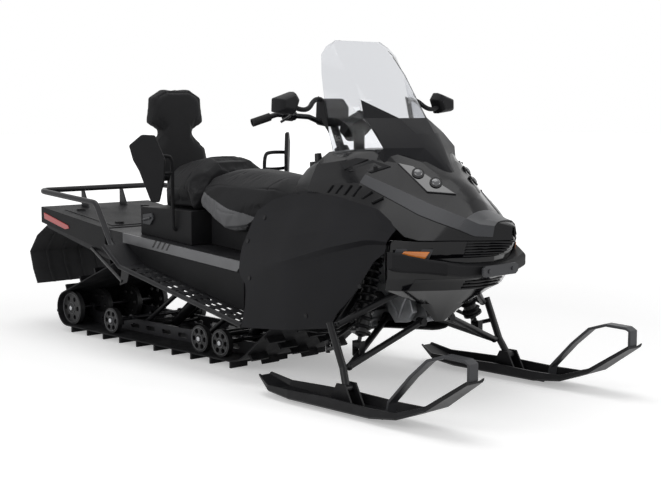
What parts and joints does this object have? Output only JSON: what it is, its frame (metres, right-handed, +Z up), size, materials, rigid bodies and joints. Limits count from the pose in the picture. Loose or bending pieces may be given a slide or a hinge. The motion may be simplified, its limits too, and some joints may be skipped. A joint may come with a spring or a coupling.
{
  "type": "snowmobile",
  "caption": "Two-up utility snowmobile with wide track, cargo rack, passenger backrest, windshield and steerable skis on coil-sprung arms.",
  "frame": {"origin": "on the ground under the middle of the machine, midway between its rear and front ends and on its centre plane", "axes": "+X forward, +Y to the rider's left, +Z up"},
  "size_m": [3.242, 1.135, 1.431],
  "materials": {
    "track_rubber": "matte moulded rubber",
    "wheel_plastic": "moulded plastic with rubber rim",
    "rail_aluminium": "black coated aluminium",
    "frame_paint": "satin black paint",
    "tunnel_paint": "satin black coated sheet",
    "grey_plastic": "satin light grey",
    "black_plastic": "fine textured black plastic",
    "red_lens": "clear red lens",
    "flap_rubber": "matte rubber",
    "rack_paint": "satin grey paint",
    "seat_cover": "grained seat cover",
    "engine_metal": "cast",
    "casting": "bare casting",
    "ski_plastic": "moulded plastic",
    "screen": "lightly smoked clear sheet",
    "lamp_glass": "dark gloss lens"
  },
  "bodies": {
    "chassis": {"track": "track_rubber", "skid_wheels": "wheel_plastic", "skid_rails": "rail_aluminium", "skid_arms": "frame_paint", "skid_shocks": "frame_paint", "drive_axle": "wheel_plastic", "tunnel": "tunnel_paint", "running_boards": "tunnel_paint", "tunnel_rails": "grey_plastic", "tunnel_covers": "black_plastic", "board_struts": "frame_paint", "tail_cover": "black_plastic", "tail_light": "red_lens", "snow_flap": "flap_rubber", "cargo_rack": "rack_paint", "tow_hitch": "frame_paint", "driver_seat": "seat_cover", "passenger_seat": "seat_cover", "passenger_box": "black_plastic", "backrest": "seat_cover", "backrest_post": "frame_paint", "hand_guards": "black_plastic", "side_panel_right": "black_plastic", "side_panel_left": "black_plastic", "hood": "black_plastic", "nose_fascia": "black_plastic", "front_bumper": "black_plastic", "belly_pan": "black_plastic", "engine": "engine_metal", "bulkhead": "casting", "upper_arms": "frame_paint", "lower_arms": "frame_paint", "front_shocks": "frame_paint", "windshield": "screen", "windshield_base": "black_plastic", "console": "black_plastic", "gauge": "black_plastic", "mirrors": "black_plastic", "headlights": "lamp_glass", "steering_support": "frame_paint"},
    "handlebar": {"handlebar": "frame_paint", "grips": "flap_rubber"},
    "spindle_right_body": {"spindle_right": "casting"},
    "spindle_left_body": {"spindle_left": "casting"},
    "ski_right_body": {"ski_right": "ski_plastic", "ski_loop_right": "grey_plastic"},
    "ski_left_body": {"ski_left": "ski_plastic", "ski_loop_left": "grey_plastic"},
    "tie_rod_right_body": {"tie_rod_right": "frame_paint"},
    "tie_rod_left_body": {"tie_rod_left": "frame_paint"}
  },
  "joints": [
    {"name": "handlebar_steer", "type": "hinge", "parent": "chassis", "child": "handlebar", "pos_m": [0.47, 0, 0.935], "axis": [-0.4084, 0, 0.9128], "range_deg": [-35, 35]},
    {"name": "spindle_right_steer", "type": "hinge", "parent": "chassis", "child": "spindle_right_body", "pos_m": [0.948, -0.437, 0.16], "axis": [-0.4017, 0, 0.9158], "range_deg": [-31.5, 31.5]},
    {"name": "tie_rod_right_pivot", "type": "hinge", "parent": "spindle_right_body", "child": "tie_rod_right_body", "pos_m": [0.82878, -0.437, 0.238], "axis": [-0.4017, 0, 0.9158], "range_deg": [-31.5, 31.5]},
    {"name": "ski_right_pitch", "type": "hinge", "parent": "spindle_right_body", "child": "ski_right_body", "pos_m": [0.985, -0.4875, 0.088], "axis": [0, -1, 0], "range_deg": [-12, 20]},
    {"name": "spindle_left_steer", "type": "hinge", "parent": "chassis", "child": "spindle_left_body", "pos_m": [0.948, 0.437, 0.16], "axis": [-0.4017, 0, 0.9158], "range_deg": [-31.5, 31.5]},
    {"name": "tie_rod_left_pivot", "type": "hinge", "parent": "spindle_left_body", "child": "tie_rod_left_body", "pos_m": [0.82878, 0.437, 0.238], "axis": [-0.4017, 0, 0.9158], "range_deg": [-31.5, 31.5]},
    {"name": "ski_left_pitch", "type": "hinge", "parent": "spindle_left_body", "child": "ski_left_body", "pos_m": [0.985, 0.4875, 0.088], "axis": [0, -1, 0], "range_deg": [-12, 20]}
  ],
  "couplings": [
    {"joint": "spindle_right_steer", "follows": "handlebar_steer", "ratio": 0.9},
    {"joint": "tie_rod_right_pivot", "follows": "handlebar_steer", "ratio": -0.9},
    {"joint": "spindle_left_steer", "follows": "handlebar_steer", "ratio": 0.9},
    {"joint": "tie_rod_left_pivot", "follows": "handlebar_steer", "ratio": -0.9}
  ]
}
